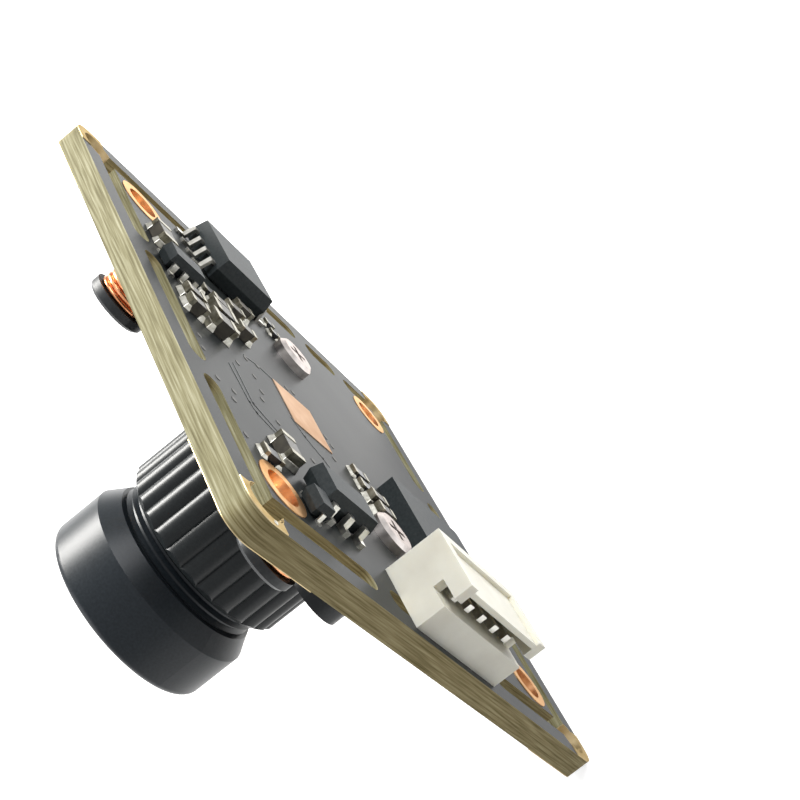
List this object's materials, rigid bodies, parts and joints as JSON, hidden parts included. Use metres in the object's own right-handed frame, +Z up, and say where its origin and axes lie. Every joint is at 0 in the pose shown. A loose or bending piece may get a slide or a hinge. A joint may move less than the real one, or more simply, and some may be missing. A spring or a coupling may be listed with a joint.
{
  "type": "board camera module",
  "caption": "Square camera board in a break-off frame, with a screw-in lens in a fluted holder on one side and a low side-entry header and chips on the back.",
  "frame": {"origin": "middle of the four mounting holes, on the lens-side face of the board", "axes": "board upright in the XZ plane; the lens looks along -Y; the connector mouth faces +X; +Z is up"},
  "size_m": [0.038, 0.0216, 0.038],
  "materials": {
    "board_mask": "black solder mask on glass fibre",
    "rose_gold": "bare plated copper",
    "bare_copper": "bare plated copper",
    "pad_gold": "bare plated copper",
    "holder_black": "satin black moulding",
    "screw_steel": "plated steel",
    "sensor_black": "sensor package",
    "clear_glass": "cover glass",
    "filter_glass": "coated filter glass",
    "barrel_black": "black anodised",
    "lens_glass": "coated lens glass",
    "spacer_black": "matt black",
    "mic_substrate": "glass-fibre substrate",
    "mic_gold": "gold-plated can",
    "silicon": "bare silicon",
    "ferrite": "ferrite",
    "copper_wire": "enamelled copper wire",
    "solder_tin": "tinned",
    "ivory_plastic": "ivory moulding",
    "chip_black": "moulded package",
    "capacitor_brown": "ceramic",
    "resistor_black": "glazed"
  },
  "bodies": {
    "board_assembly": {"board": "board_mask", "mount_hole_plating": "rose_gold", "corner_copper": "bare_copper", "front_ground_pad": "pad_gold", "back_ground_pad": "rose_gold", "lens_holder": "holder_black", "holder_screws": "screw_steel", "image_sensor": "sensor_black", "sensor_cover_glass": "clear_glass", "ir_filter": "filter_glass", "mic_bases": "mic_substrate", "mic_cans": "mic_gold", "mic_dies": "silicon", "inductor_cores": "ferrite", "inductor_windings": "copper_wire", "inductor_terminals": "solder_tin", "connector_housing": "ivory_plastic", "connector_pins": "solder_tin", "processor": "chip_black", "memory_chip": "chip_black", "memory_chip_leads": "solder_tin", "logic_chip": "chip_black", "logic_chip_leads": "solder_tin", "regulator": "chip_black", "regulator_leads": "solder_tin", "transistor": "chip_black", "transistor_leads": "solder_tin", "diode": "chip_black", "diode_terminals": "solder_tin", "front_capacitors": "capacitor_brown", "front_capacitor_caps": "solder_tin", "front_resistors": "resistor_black", "front_resistor_caps": "solder_tin", "back_capacitors": "capacitor_brown", "back_capacitor_caps": "solder_tin", "back_resistors": "resistor_black", "back_resistor_caps": "solder_tin"},
    "lens_carriage": {"lens_front_element": "lens_glass", "lens_spacers": "spacer_black", "aperture_stop": "spacer_black", "lens_rear_element": "lens_glass"},
    "lens": {"lens_barrel": "barrel_black", "lens_retaining_ring": "barrel_black"}
  },
  "joints": [
    {"name": "focus_advance", "type": "slide", "parent": "board_assembly", "child": "lens_carriage", "axis": [0, 1, 0], "range_m": [-0.001, 0.0005]},
    {"name": "focus_turn", "type": "hinge", "parent": "lens_carriage", "child": "lens", "pos_m": [0, -0.01, 0], "axis": [0, 1, 0], "range_deg": [-720, 360]}
  ],
  "couplings": [
    {"joint": "focus_turn", "follows": "focus_advance", "rad_per_m": 12566}
  ]
}
